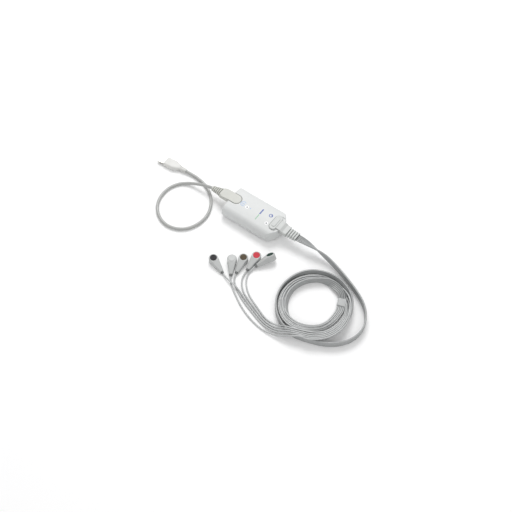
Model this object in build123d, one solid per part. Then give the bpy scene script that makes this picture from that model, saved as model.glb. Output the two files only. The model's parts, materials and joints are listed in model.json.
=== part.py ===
from build123d import *
import math
import os

# USB electrocardiograph recorder: a palm-sized module with a computer cable at one end
# and a five-lead patient cable at the other.  Millimetres, +Z up, the origin on the
# desk under the middle of the module, +X towards the patient cable.

# ---- driving dimensions: module -------------------------------------------------
CASE_LENGTH = 93.0
CASE_WIDTH = 51.0
CASE_HEIGHT = 22.5
FOOT_PROUD = 0.8
SHOULDER_DROP = 2.4          # the crown falls by this much from the middle to each side
BOTTOM_RADIUS = 6.5
TOP_RADIUS = 9.0
END_RADIUS = 2.2
BOW_RADIUS = 31.3            # plan radius of the end towards the patient cable
WALL = 2.2
PARTING_Z = 10.0
LIP_HEIGHT = 1.4
LIP_GAP = 0.12
LIP_END_GAP = 26.0           # the lip stops beside the plugs, over this width
DECK_WALL = 1.6
USB_WINDOW = ((-4.6, 4.6), (12.6, 17.4))         # (y, z) of each opening in an end wall
PATIENT_WINDOW = ((-7.7, 7.7), (12.7, 16.9))
HALF_LENGTH = CASE_LENGTH / 2
HALF_WIDTH = CASE_WIDTH / 2

# ---- screws, feet, board --------------------------------------------------------
BOSS_X, BOSS_Y = 30.0, 13.8
BOSS_RADIUS = 3.2
PILOT_RADIUS = 1.15
SCREW_RADIUS = 1.1
SCREW_HEAD_RADIUS = 2.1
SCREW_HEAD_HEIGHT = 1.7
SCREW_SEAT_Z = 5.0
SCREW_TIP_Z = 17.0
FOOT_RADIUS = 4.1
FOOT_POCKET_TOP = 1.8
BOARD_BOTTOM = 10.8
BOARD_THICK = 1.6
BOARD_TOP = BOARD_BOTTOM + BOARD_THICK
BOARD_END_X, BOARD_HALF_Y = -41.5, 20.0
BOARD_GAP = 1.0               # from the bowed end wall to the board
STANDOFF_X, STANDOFF_Y = 14.0, 17.0
STANDOFF_RADIUS = 2.4
BOARD_SCREW_RADIUS = 0.95
BOARD_SCREW_HEAD = 1.9
BOARD_SCREW_LENGTH = 4.0

# ---- plugs at the module --------------------------------------------------------
END_GAP = 0.4                # from an end wall to a plug body
PLUG_GAP = 0.8               # around a plug's head in its deck
HEAD_LIFT = 0.3              # under a plug's head, above its deck
USB_DECK_Z = 19.6
USB_HEAD_HALF = 8.0
USB_HEAD_TIP = -29.0
USB_HEAD_TOP = 23.0
USB_BODY_END = -64.0
USB_BODY_BOTTOM, USB_BODY_TOP = 12.4, 21.4
USB_AXIS_Z = 15.0
PATIENT_DECK_Z = 21.0
PATIENT_HEAD_X = (29.5, 40.5)
PATIENT_HEAD_HALF = 13.5
PATIENT_HEAD_TOP = 23.8
PATIENT_WEB_TOP = 23.0       # of the web that joins the head to the plug's body
PATIENT_WEB_SLOPE = 4.0
GRIP_WIDTH, GRIP_LENGTH, GRIP_ROUND = 5.6, 18.0, 2.79
GRIP_DEPTH, GRIP_PROUD = 1.5, 0.8
PATIENT_BODY_HALF = 8.6
PATIENT_BODY_END = 57.0
PATIENT_BODY_BOTTOM, PATIENT_BODY_TOP = 12.8, 20.6
PATIENT_BLOCK_END = 73.0
PATIENT_AXIS_Z = 14.8

# ---- cords ----------------------------------------------------------------------
USB_CORD_DIAMETER = 4.7
RIBBON_WIDTH = 11.9
RIBBON_THICK = 2.4
RIBBON_ROUND = 5.4           # round of the same section, where the ribbon twists
LEAD_DIAMETER = 2.3
FLOOR_USB = 2.4              # height of each cord's middle where it lies on the desk
FLOOR_RIBBON = 6.2
FLOOR_LEAD = 1.25
COIL_CENTRE = (153.0, -73.0)
COIL_OUTER, COIL_INNER = 55.5, 36.0
COIL_HEIGHT = 12.4

USB_ROUTE = [
    (-82, 0, 14.2), (-94, -1, 12.4), (-108, -3.6, 8.2), (-122, -7.4, 3.6),
    (-134, -15.5, FLOOR_USB), (-141.5, -28.5, FLOOR_USB), (-143.5, -43, FLOOR_USB),
    (-141, -58, FLOOR_USB), (-134, -71, FLOOR_USB), (-122.5, -81.5, FLOOR_USB),
    (-108, -87.5, FLOOR_USB), (-93, -87.5, FLOOR_USB), (-79, -81.5, FLOOR_USB),
    (-69, -70.5, FLOOR_USB), (-63.5, -56.5, FLOOR_USB), (-62.5, -41.5, FLOOR_USB),
    (-66.5, -27, FLOOR_USB), (-74.5, -14, FLOOR_USB), (-85, -3.8, FLOOR_USB),
    (-98, 3.6, FLOOR_USB), (-113, 7.8, FLOOR_USB), (-127, 8.6, 3.1), (-141, 7.4, 4.1),
]
RIBBON_ROUTE = [
    (73, 0, 17), (86, 0.6, 16.6), (100, 1.2, 14.2), (114, 1.5, 10.9), (128, 0, 8.2),
    (143, -3.6, 6.7), (159, -8.8, FLOOR_RIBBON), (176, -15.6, FLOOR_RIBBON),
    (192, -23, FLOOR_RIBBON), (206, -31.5, FLOOR_RIBBON), (217, -42.5, FLOOR_RIBBON),
    (224.5, -56.5, FLOOR_RIBBON), (226.5, -71.5, FLOOR_RIBBON), (223, -87, FLOOR_RIBBON),
    (214.5, -100, FLOOR_RIBBON), (203, -110, FLOOR_RIBBON), (191, -117, FLOOR_RIBBON),
    (178, -121.5, FLOOR_RIBBON),
]
RIBBON_SPLIT = 6             # the ribbon lies on edge from the middle of this run

# Each lead runs from the coil to the tail of its snap connector.
LEAD_ROUTES = {
    "black": [
        (157, -125.6, 11), (145, -129.5, 8), (130.5, -135.3, 2.5),
        (109, -134.6, FLOOR_LEAD), (88.5, -127.3, FLOOR_LEAD), (70, -120.8, FLOOR_LEAD),
        (57, -115.6, 2.4), (48.5, -112.8, 4.4), (40.5, -111.1, 4.6), (31.5, -109.8, 4.4),
        (25, -108, 3.3), (17.9, -105.2, 2.6),
    ],
    "white": [
        (166, -125.5, 11), (153, -133.5, 8), (136, -141.5, 2.5),
        (114, -144.5, FLOOR_LEAD), (91, -140.4, FLOOR_LEAD), (71, -132.8, FLOOR_LEAD),
        (53, -122.5, FLOOR_LEAD), (42.5, -115.8, FLOOR_LEAD), (34.9, -110.2, 1.4),
        (29.6, -102.7, 2.6),
    ],
    "brown": [
        (161.5, -125.8, 11), (148.5, -131.5, 8), (132, -138.3, 2.5),
        (110, -138, FLOOR_LEAD), (88, -131, FLOOR_LEAD), (69.5, -124.6, FLOOR_LEAD),
        (53.5, -117, FLOOR_LEAD), (42, -109, FLOOR_LEAD), (35.3, -103, 1.5),
        (33.1, -95.3, 2.6),
    ],
    "red": [
        (152.5, -124.8, 11), (141, -127.4, 8), (128.5, -132.4, 2.5),
        (108.3, -131.2, FLOOR_LEAD), (89, -124, FLOOR_LEAD), (71, -117.6, FLOOR_LEAD),
        (57.5, -111.2, FLOOR_LEAD), (47.5, -101.5, FLOOR_LEAD), (42.9, -91.5, 1.6),
        (42.1, -82.1, 2.6),
    ],
    "green": [
        (148, -123.6, 11), (137, -125.2, 8), (126, -129.2, 2.5),
        (107.8, -127.8, FLOOR_LEAD), (90.5, -120.6, FLOOR_LEAD), (73.5, -114, FLOOR_LEAD),
        (62, -107, FLOOR_LEAD), (52.4, -97.2, FLOOR_LEAD), (47.2, -87, 1.4),
        (46.4, -78, 2.8), (47.8, -69.9, 4.3),
    ],
}

# ---- snap connectors: place of the head, heading from head to tail, roll, pitch, lift
SNAP_POSES = {
    "black": (-7.1, -95.1, -22.0, 0, 0, 0),
    "white": (14.8, -80.1, -56.7, 0, 0, 0),
    "brown": (27.1, -69.0, -77.2, 0, 0, 0),
    "red": (40.2, -55.2, -86.0, 0, 0, 0),
    "green": (61.6, -46.5, -117.0, 40, 5, 4.7),
}
SNAP_HEAD_RADIUS = 6.8
SNAP_HEIGHT = 9.2
SNAP_CREST_X = 5.0            # the flat top ends here and the slope to the tail begins
SNAP_TAIL_X = 23.5
SNAP_TAIL_HALF = 2.5
SNAP_TAIL_Z = (0.4, 5.0)
SNAP_ROUND, SNAP_FOLD_ROUND = 1.4, 8.0
COLLAR_RADIUS = 2.2
COLLAR_LENGTH = 1.8
WIRE_NECK_RADIUS = 1.4
SNAP_WIRE_X = 27.0
SNAP_WIRE_Z = 2.6
CAP_RADIUS = 5.0
CAP_SEAT_Z = 8.8
STUD_RADIUS = 2.0
SOCKET_RADIUS = 3.2
SOCKET_MOUTH_Z = 0.3
SOCKET_TOP_Z = 4.8
SOCKET_DEPTH = 3.9
CUT = 60.0                   # longer than anything it cuts


def write(name, shape):
    solids = shape.solids()
    export_step(solids[0] if len(solids) == 1 else Compound(solids), f"parts/{name}.step")


def block(x, y, z):
    """A box from its low and high values along each axis."""
    size = [high - low for low, high in (x, y, z)]
    middle = [(low + high) / 2 for low, high in (x, y, z)]
    return Pos(*middle) * Box(*size)


def post(x, y, bottom, top, radius):
    return Pos(x, y, (bottom + top) / 2) * Cylinder(radius, top - bottom)


def at_corners(x, y, make):
    """The same piece at the four corners of a rectangle."""
    return Part() + [make(sx * x, sy * y) for sx in (-1, 1) for sy in (-1, 1)]


# ---- module case ----------------------------------------------------------------
def case_plan(inset):
    """Plan of the case: flat at the computer's end, bowed at the patient's end."""
    flat_end = -HALF_LENGTH + inset
    bow_centre = HALF_LENGTH - BOW_RADIUS
    strip = Pos((flat_end + bow_centre) / 2, 0) * Rectangle(bow_centre - flat_end, 2 * CASE_WIDTH)
    return strip + Pos(bow_centre, 0) * Circle(BOW_RADIUS - inset)


def loaf(inset):
    """The module's outer form, or the same form with every wall moved in by inset."""
    half = HALF_WIDTH - inset
    bottom = FOOT_PROUD + inset
    crown = CASE_HEIGHT - inset
    shoulder = crown - SHOULDER_DROP
    outline = Polyline((-half, shoulder), (-half, bottom), (half, bottom), (half, shoulder))
    outline += ThreePointArc((half, shoulder), (0, crown), (-half, shoulder))
    section = make_face(outline)
    low = section.vertices().sort_by(Axis.Y)[:2]
    section = fillet(low, BOTTOM_RADIUS - inset)
    high = section.vertices().sort_by(Axis.Y)[-2:]
    section = fillet(high, TOP_RADIUS - inset)
    body = extrude(Plane.YZ * section, amount=CASE_LENGTH, both=True)
    return body & extrude(case_plan(inset), amount=CUT)


def outer_case():
    body = loaf(0)
    ends = body.faces().sort_by(Axis.X)
    return fillet(ends[0].edges() + ends[-1].edges(), END_RADIUS)


def usb_plan(gap, far_x):
    """Plan of the computer plug's head: a strip with a round end, open towards -X."""
    half = USB_HEAD_HALF + gap
    centre = USB_HEAD_TIP - USB_HEAD_HALF
    strip = Pos((far_x + centre) / 2, 0) * Rectangle(centre - far_x, 2 * half)
    return strip + Pos(centre, 0) * Circle(half)


def stadium_plan(gap):
    """Plan of the patient plug's head: a stadium across the module."""
    low, high = PATIENT_HEAD_X
    radius = (high - low) / 2 + gap
    length = 2 * (PATIENT_HEAD_HALF + gap)
    return Pos((low + high) / 2, 0) * RectangleRounded(2 * radius, length, radius * 0.999)


def patient_deck_plan(gap):
    """The stadium, run out through the end of the module."""
    low, high = PATIENT_HEAD_X
    middle = (low + high) / 2
    half = PATIENT_HEAD_HALF + gap
    run_out = Pos(middle + CUT / 2, 0) * Rectangle(CUT, 2 * half)
    return stadium_plan(gap) + run_out


def raised(plan, bottom, top):
    return extrude(Pos(0, 0, bottom) * plan, amount=top - bottom)


def decks(outer):
    """Solid floors and walls under the two plugs' heads, cut to the case."""
    wall = PLUG_GAP + DECK_WALL
    usb = raised(usb_plan(wall, -CUT), USB_DECK_Z - DECK_WALL, CASE_HEIGHT)
    patient = raised(patient_deck_plan(wall), PATIENT_DECK_Z - DECK_WALL, CASE_HEIGHT)
    return (usb + patient) & outer


def make_top_shell(outer, cavity):
    above = block((-CUT, CUT), (-CUT, CUT), (PARTING_Z, CUT))
    shell = (outer - cavity) & above
    shell += decks(outer)
    shell += at_corners(BOSS_X, BOSS_Y, lambda x, y: post(
        x, y, PARTING_Z + LIP_GAP, CASE_HEIGHT - WALL, BOSS_RADIUS))
    shell -= raised(usb_plan(PLUG_GAP, -CUT), USB_DECK_Z, CUT)
    shell -= raised(patient_deck_plan(PLUG_GAP), PATIENT_DECK_Z, CUT)
    shell -= block((-CUT, -HALF_LENGTH + WALL + 1), *USB_WINDOW)
    shell -= block((HALF_LENGTH - WALL - 1, CUT), *PATIENT_WINDOW)
    shell -= at_corners(BOSS_X, BOSS_Y, lambda x, y: post(x, y, 0, SCREW_TIP_Z + 1, PILOT_RADIUS))
    lip_room = loaf(WALL / 2 - LIP_GAP / 2) & block(
        (-CUT, CUT), (-CUT, CUT), (PARTING_Z, PARTING_Z + LIP_HEIGHT + LIP_GAP))
    boss_room = at_corners(BOSS_X, BOSS_Y, lambda x, y: post(x, y, 0, CUT, BOSS_RADIUS))
    shell -= lip_room - boss_room
    for x, y in LIGHT_PIPE_PLACES:
        shell -= post(x, y, 0, CUT, LIGHT_PIPE_RADIUS + 0.1)
    return shell


def make_base_shell(outer, cavity):
    below = block((-CUT, CUT), (-CUT, CUT), (0, PARTING_Z - LIP_GAP))
    shell = (outer - cavity) & below
    lip = loaf(WALL / 2 + LIP_GAP / 2) & block(
        (-CUT, CUT), (-CUT, CUT), (PARTING_Z - 1, PARTING_Z + LIP_HEIGHT))
    ends = block((-CUT, CUT), (-LIP_END_GAP / 2, LIP_END_GAP / 2), (0, CUT))
    shell += lip - cavity - ends
    shell += at_corners(BOSS_X, BOSS_Y, lambda x, y: post(
        x, y, FOOT_PROUD + 1, PARTING_Z - LIP_GAP, BOSS_RADIUS))
    shell += at_corners(STANDOFF_X, STANDOFF_Y, lambda x, y: post(
        x, y, FOOT_PROUD + 1, BOARD_BOTTOM, STANDOFF_RADIUS) & outer)
    shell -= at_corners(BOSS_X, BOSS_Y, lambda x, y: post(
        x, y, 0, FOOT_POCKET_TOP, FOOT_RADIUS + 0.2))
    shell -= at_corners(BOSS_X, BOSS_Y, lambda x, y: post(
        x, y, 0, SCREW_SEAT_Z, SCREW_HEAD_RADIUS + 0.2))
    shell -= at_corners(BOSS_X, BOSS_Y, lambda x, y: post(x, y, 0, CUT, SCREW_RADIUS + 0.2))
    shell -= at_corners(STANDOFF_X, STANDOFF_Y, lambda x, y: post(
        x, y, BOARD_TOP - BOARD_SCREW_LENGTH - 1, CUT, BOARD_SCREW_RADIUS + 0.05))
    return shell


def make_housing_screw(x, y):
    head_bottom = SCREW_SEAT_Z - SCREW_HEAD_HEIGHT
    screw = post(x, y, head_bottom, SCREW_SEAT_Z, SCREW_HEAD_RADIUS)
    screw += post(x, y, SCREW_SEAT_Z, SCREW_TIP_Z, SCREW_RADIUS)
    recess = block((x - 1.2, x + 1.2), (y - 0.3, y + 0.3), (0, head_bottom + 0.9))
    return screw - recess - Pos(x, y, 0) * Rot(0, 0, 90) * Pos(-x, -y, 0) * recess


def make_rubber_foot(x, y):
    foot = post(x, y, 0, FOOT_POCKET_TOP - 0.1, FOOT_RADIUS)
    return chamfer(foot.faces().sort_by(Axis.Z)[0].edges(), 0.3)


# ---- electronics ----------------------------------------------------------------
LIGHT_PIPE_PLACES = [(-15.5, -2.5), (24.0, -9.0)]
LIGHT_PIPE_RADIUS = 1.1
LED_HEIGHT = 0.8
SHIELD_X, SHIELD_Y, SHIELD_TOP = (7.0, 21.0), (-9.0, 9.0), 15.6
SHIELD_WALL = 0.4
RESISTOR_X = 25.1
RESISTOR_LENGTH = 4.8
RESISTOR_CAP_RADIUS = 1.0


def make_main_board():
    board = block((BOARD_END_X, HALF_LENGTH), (-BOARD_HALF_Y, BOARD_HALF_Y),
                  (BOARD_BOTTOM, BOARD_TOP))
    board &= raised(case_plan(WALL + BOARD_GAP), 0, CUT)
    board -= at_corners(BOSS_X, BOSS_Y, lambda x, y: post(x, y, 0, CUT, BOSS_RADIUS + 0.5))
    return board - at_corners(STANDOFF_X, STANDOFF_Y, lambda x, y: post(
        x, y, 0, CUT, BOARD_SCREW_RADIUS + 0.15))


def make_board_screw(x, y):
    screw = post(x, y, BOARD_TOP, BOARD_TOP + 1.2, BOARD_SCREW_HEAD)
    screw += post(x, y, BOARD_TOP - BOARD_SCREW_LENGTH, BOARD_TOP, BOARD_SCREW_RADIUS)
    return screw - block((x - 1.3, x + 1.3), (y - 0.25, y + 0.25), (BOARD_TOP + 0.6, CUT))


def make_shield_can():
    outside = block(SHIELD_X, SHIELD_Y, (BOARD_TOP, SHIELD_TOP))
    outside = fillet(outside.edges().filter_by(Axis.Z), 0.8)
    x = (SHIELD_X[0] + SHIELD_WALL, SHIELD_X[1] - SHIELD_WALL)
    y = (SHIELD_Y[0] + SHIELD_WALL, SHIELD_Y[1] - SHIELD_WALL)
    return outside - block(x, y, (BOARD_TOP, SHIELD_TOP - SHIELD_WALL))


def chip(x, y, length, width, height):
    """A surface-mounted chip: a moulded body on two rows of short gull-wing leads."""
    body = Pos(x, y, BOARD_TOP + 0.15 + height / 2) * Box(length, width, height)
    body = chamfer(body.faces().sort_by(Axis.Z)[-1].edges(), 0.15)
    count = int(length / 1.3)
    for index in range(count):
        lead_x = x + (index - (count - 1) / 2) * 1.2
        body += Pos(lead_x, y, BOARD_TOP + 0.2) * Box(0.4, width + 1.6, 0.4)
    return body


def make_isolation_converter():
    x, y = (-9.0, 3.0), (2.0, 12.0)
    body = block(x, y, (BOARD_TOP + 0.5, BOARD_TOP + 6.5))
    body = fillet(body.edges().filter_by(Axis.Z), 0.6)
    for pin_x in (x[0] + 1.5, x[0] + 4.0, x[1] - 4.0, x[1] - 1.5):
        body += post(pin_x, y[0] + 1.5, BOARD_TOP, BOARD_TOP + 0.5, 0.35)
        body += post(pin_x, y[1] - 1.5, BOARD_TOP, BOARD_TOP + 0.5, 0.35)
    return body


def make_digital_isolators():
    return Part() + [chip(-3, y, 7.5, 4.4, 1.8) for y in (-12.0, -5.0)]


def make_capacitor(x, y):
    can = post(x, y, BOARD_TOP + 0.3, BOARD_TOP + 6.0, 2.9)
    can = fillet(can.faces().sort_by(Axis.Z)[-1].edges(), 0.5)
    return can + Pos(x, y, BOARD_TOP + 0.2) * Box(6.2, 6.2, 0.4)


def make_resistor(y):
    """A cylindrical surface-mounted resistor: a barrel between two wider end caps."""
    turned = Pos(RESISTOR_X, y, BOARD_TOP + RESISTOR_CAP_RADIUS) * Rot(0, 90, 0)
    body = turned * Cylinder(RESISTOR_CAP_RADIUS - 0.12, RESISTOR_LENGTH - 1.0)
    for end in (-1, 1):
        body += turned * Pos(0, 0, end * (RESISTOR_LENGTH / 2 - 0.4)) * Cylinder(
            RESISTOR_CAP_RADIUS, 0.8)
    return body


def make_crystal():
    can = block((-22.5, -17.5), (-0.6, 2.6), (BOARD_TOP, BOARD_TOP + 1.2))
    return fillet(can.edges().filter_by(Axis.Z), 1.2)


def make_light_pipe(x, y):
    top = CASE_HEIGHT - SHOULDER_DROP * (y / HALF_WIDTH) ** 2 + 0.15
    pipe = post(x, y, BOARD_TOP + LED_HEIGHT + 0.3, top, LIGHT_PIPE_RADIUS)
    collar = post(x, y, CASE_HEIGHT - WALL - 2.2, CASE_HEIGHT - WALL - 1.4, 1.7)
    return chamfer((pipe + collar).faces().sort_by(Axis.Z)[-1].edges(), 0.2)


def make_led(x, y):
    return Pos(x, y, BOARD_TOP + LED_HEIGHT / 2) * Box(1.6, 0.9, LED_HEIGHT)


# ---- connectors -----------------------------------------------------------------
def sleeve(x, half_y, half_z, axis_z, wall, back):
    """A rectangular tube along X, with an end wall of thickness back at its low end."""
    outside = block(x, (-half_y, half_y), (axis_z - half_z, axis_z + half_z))
    inner = block((x[0] + back, x[1] + 1), (wall - half_y, half_y - wall),
                  (axis_z - half_z + wall, axis_z + half_z - wall))
    return outside - inner


def towards_usb(shape):
    """Mirror a connector piece from the patient end to the computer end."""
    return mirror(shape, about=Plane.YZ)


RECEPTACLE_X = (33.4, 42.9)
RECEPTACLE_BACK = 1.2
INSERT_X = (37.2, HALF_LENGTH + END_GAP)
TONGUE_TIP_X = 41.6
SLOT_END_X = 42.3
USB_RECEPTACLE_HALF = (4.9, 2.6)
USB_INSERT_HALF = (3.9, 1.8)
USB_TONGUE_HALF = 2.5
PATIENT_RECEPTACLE_HALF = (8.1, 2.4)
PATIENT_INSERT_HALF = (7.2, 1.7)
PATIENT_TONGUE_HALF = 6.0
TONGUE_HALF_THICK = 0.4
SLOT_SIDE_GAP, SLOT_HALF_THICK = 0.4, 0.75
INSERT_WALL = 0.4
CONTACT_THICK = 0.15


def make_tongue(half_y, axis_z):
    return block((RECEPTACLE_X[0] + RECEPTACLE_BACK, TONGUE_TIP_X), (-half_y, half_y),
                 (axis_z - TONGUE_HALF_THICK, axis_z + TONGUE_HALF_THICK))


def make_contacts(count, pitch, axis_z):
    low = axis_z + TONGUE_HALF_THICK
    strips = [block((RECEPTACLE_X[0] + RECEPTACLE_BACK, TONGUE_TIP_X - 0.5),
                    ((i - (count - 1) / 2) * pitch - pitch * 0.3,
                     (i - (count - 1) / 2) * pitch + pitch * 0.3),
                    (low, low + CONTACT_THICK)) for i in range(count)]
    return Part() + strips


def make_insert(half, axis_z):
    outside = block(INSERT_X, (-half[0], half[0]), (axis_z - half[1], axis_z + half[1]))
    outside = fillet(outside.edges().filter_by(Axis.X), 0.6)
    y, z = half[0] - INSERT_WALL, half[1] - INSERT_WALL
    return outside - block((0, CUT), (-y, y), (axis_z - z, axis_z + z))


def make_core(half, tongue_half, axis_z):
    y, z = half[0] - INSERT_WALL, half[1] - INSERT_WALL
    core = block(INSERT_X, (-y, y), (axis_z - z, axis_z + z))
    slot_y = tongue_half + SLOT_SIDE_GAP
    return core - block((0, SLOT_END_X), (-slot_y, slot_y),
                        (axis_z - SLOT_HALF_THICK, axis_z + SLOT_HALF_THICK))


def make_usb_plug_body():
    """A rounded body outside the case, and a round-ended head that lies on the deck."""
    front = -HALF_LENGTH - END_GAP
    section = Pos(0, (USB_BODY_BOTTOM + USB_BODY_TOP) / 2) * RectangleRounded(
        2 * USB_HEAD_HALF, USB_BODY_TOP - USB_BODY_BOTTOM, 3.0)
    body = extrude(Plane.YZ * section, amount=USB_BODY_END, dir=(1, 0, 0))
    body &= block((-CUT * 2, front), (-CUT, CUT), (0, CUT))
    low = USB_DECK_Z + HEAD_LIFT
    side = Polyline((USB_HEAD_TIP, low), (USB_HEAD_TIP, USB_HEAD_TOP),
                    (front, USB_HEAD_TOP), (USB_BODY_END + 3, USB_BODY_TOP),
                    (USB_BODY_END + 3, low), (USB_HEAD_TIP, low))
    wedge = extrude(Plane.XZ * make_face(side), amount=USB_HEAD_HALF, both=True)
    head = wedge & raised(usb_plan(0, USB_BODY_END), 0, CUT)
    head = fillet(head.faces().sort_by(Axis.Z)[-1].edges(), 0.8)
    return body + head


def ribs(outside, core, places, width):
    """Cut grooves of one width down to the core at each place along X."""
    for x in places:
        slab = block((x - width / 2, x + width / 2), (-CUT, CUT), (-CUT, CUT))
        outside -= slab - core
    return outside


def taper(start, end):
    """Loft between two rounded sections across X: (x, half width, half height, z)."""
    faces = []
    for x, half_y, half_z, z in (start, end):
        section = RectangleRounded(2 * half_y, 2 * half_z, min(half_y, half_z) * 0.95)
        faces.append(Plane.YZ.offset(x) * Pos(0, z) * section)
    return loft(faces)


def make_usb_strain_relief():
    start, end = (USB_BODY_END, 7.3, 4.2, 17.0), (USB_ROUTE[0][0], 4.0, 3.7, 14.2)
    core_start, core_end = (USB_BODY_END, 4.6, 2.3, 16.6), (USB_ROUTE[0][0], 2.4, 2.1, 14.2)
    places = [USB_BODY_END - 1.4 - 3.4 * i for i in range(5)]
    return ribs(taper(start, end), taper(core_start, core_end), places, 1.7)


def make_patient_plug_body():
    """Flat body, a stadium-shaped head on the deck and a web between the two."""
    front = HALF_LENGTH + END_GAP
    body = block((front, PATIENT_BODY_END), (-PATIENT_BODY_HALF, PATIENT_BODY_HALF),
                 (PATIENT_BODY_BOTTOM, PATIENT_BODY_TOP))
    body = fillet(body.edges().filter_by(Axis.X), 2.2)
    low = PATIENT_DECK_Z + HEAD_LIFT
    root = PATIENT_HEAD_X[1] - 2
    side = Polyline((root, low), (root, PATIENT_WEB_TOP), (front, PATIENT_WEB_TOP),
                    (front + PATIENT_WEB_SLOPE, PATIENT_BODY_TOP), (front + PATIENT_WEB_SLOPE, 17),
                    (front, 17), (front, low), (root, low))
    web = extrude(Plane.XZ * make_face(side), amount=PATIENT_BODY_HALF - 0.3, both=True)
    body += fillet(web.edges().filter_by(Axis.X).sort_by(Axis.Z)[-2:], 0.6)
    head = raised(stadium_plan(0), low, PATIENT_HEAD_TOP)
    head = fillet(head.faces().sort_by(Axis.Z)[-1].edges(), 0.8)
    return body + head - grip(0.05)


def grip(gap):
    """The raised oval finger grip set into the head."""
    middle = sum(PATIENT_HEAD_X) / 2
    plan = Pos(middle, 0) * RectangleRounded(
        GRIP_WIDTH + 2 * gap, GRIP_LENGTH + 2 * gap, GRIP_ROUND + gap)
    return raised(plan, PATIENT_HEAD_TOP - GRIP_DEPTH, PATIENT_HEAD_TOP + GRIP_PROUD)


def make_patient_plug_grip():
    pad = grip(0)
    return fillet(pad.faces().sort_by(Axis.Z)[-1].edges(), 0.5)


def make_patient_strain_relief():
    start, end = (PATIENT_BODY_END, 7.9, 3.8, 16.8), (PATIENT_BLOCK_END, 7.5, 3.4, 17.0)
    core_start, core_end = (PATIENT_BODY_END, 6.0, 1.6, 16.6), (PATIENT_BLOCK_END, 5.8, 1.6, 16.8)
    places = [PATIENT_BODY_END + 1.4 + 3.9 * i for i in range(4)]
    return ribs(taper(start, end), taper(core_start, core_end), places, 1.9)


# ---- computer plug at the far end of the USB cord -------------------------------
PLUG_HEADING = 184.9
RELIEF_LENGTH = 13.0
OVERMOLD_END = 38.0
SHELL_TIP = 49.8
SHELL_HALF = (6.0, 2.25)
SHELL_WALL = 0.3


def place_computer_plug(shape):
    return Pos(*USB_ROUTE[-1]) * Rot(0, 0, PLUG_HEADING) * shape


def make_computer_plug_relief():
    start, end = (0, 3.2, 3.0, 0), (RELIEF_LENGTH, 4.4, 3.4, 0)
    core_start, core_end = (0, 2.5, 2.5, 0), (RELIEF_LENGTH, 3.2, 2.5, 0)
    places = [1.8 + 2.6 * i for i in range(4)]
    return ribs(taper(start, end), taper(core_start, core_end), places, 1.1)


def make_computer_plug_body():
    neck = (RELIEF_LENGTH, 5.4, 3.6, 0)
    shoulder = (RELIEF_LENGTH + 7, 7.8, 4.0, 0)
    body = taper(neck, shoulder)
    grip_x = RELIEF_LENGTH + 7
    section = RectangleRounded(15.6, 8.0, 2.6)
    grip_part = extrude(Plane.YZ.offset(grip_x) * section, amount=OVERMOLD_END - grip_x)
    body += chamfer(grip_part.faces().sort_by(Axis.X)[-1].edges(), 0.6)
    pocket = block((OVERMOLD_END - 5, CUT), (-SHELL_HALF[0], SHELL_HALF[0]),
                   (-SHELL_HALF[1], SHELL_HALF[1]))
    return body - pocket


def make_computer_plug_shell():
    x = (OVERMOLD_END - 5, SHELL_TIP)
    outside = block(x, (-SHELL_HALF[0], SHELL_HALF[0]), (-SHELL_HALF[1], SHELL_HALF[1]))
    y, z = SHELL_HALF[0] - SHELL_WALL, SHELL_HALF[1] - SHELL_WALL
    shell = outside - block((0, CUT), (-y, y), (-z, z))
    for hole_y in (-2.9, 2.9):
        shell -= block((SHELL_TIP - 7.4, SHELL_TIP - 5.1), (hole_y - 1.1, hole_y + 1.1), (-5, 5))
    return shell


def make_computer_plug_tongue():
    y, z = SHELL_HALF[0] - SHELL_WALL, SHELL_HALF[1] - SHELL_WALL
    tongue = block((OVERMOLD_END - 5, SHELL_TIP - 0.4), (-y, y), (-z, -0.1))
    return tongue + block((OVERMOLD_END - 5, OVERMOLD_END - 0.5), (-y, y), (-z, z))


def make_computer_plug_contacts():
    return Part() + [block((OVERMOLD_END - 0.5, SHELL_TIP - 2.2 - inner), (y - 0.5, y + 0.5),
                           (-0.1, 0.1)) for y, inner in ((-3.5, 0), (-1, 1), (1, 1), (3.5, 0))]


# ---- snap connectors ------------------------------------------------------------
def place_snap(shape, colour):
    x, y, heading, roll, pitch, lift = SNAP_POSES[colour]
    return Pos(x, y, lift) * Rot(0, 0, heading) * Rot(0, pitch, 0) * Rot(roll, 0, 0) * shape


def crest_fold(edge):
    """Whether an edge is the fold across the snap's top, where the slope begins."""
    middle = edge @ 0.5
    return abs(middle.X - SNAP_CREST_X) < 0.5 and abs(middle.Y) < 0.5 and middle.Z > SNAP_TAIL_Z[1]


def upper_rim(edge):
    """Whether an edge runs round the snap's top: its head and flanks, not the tail's end."""
    middle = edge @ 0.5
    return middle.Z > SNAP_TAIL_Z[1] + 0.5 and (abs(middle.Y) > 0.5 or middle.X < 0)


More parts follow.
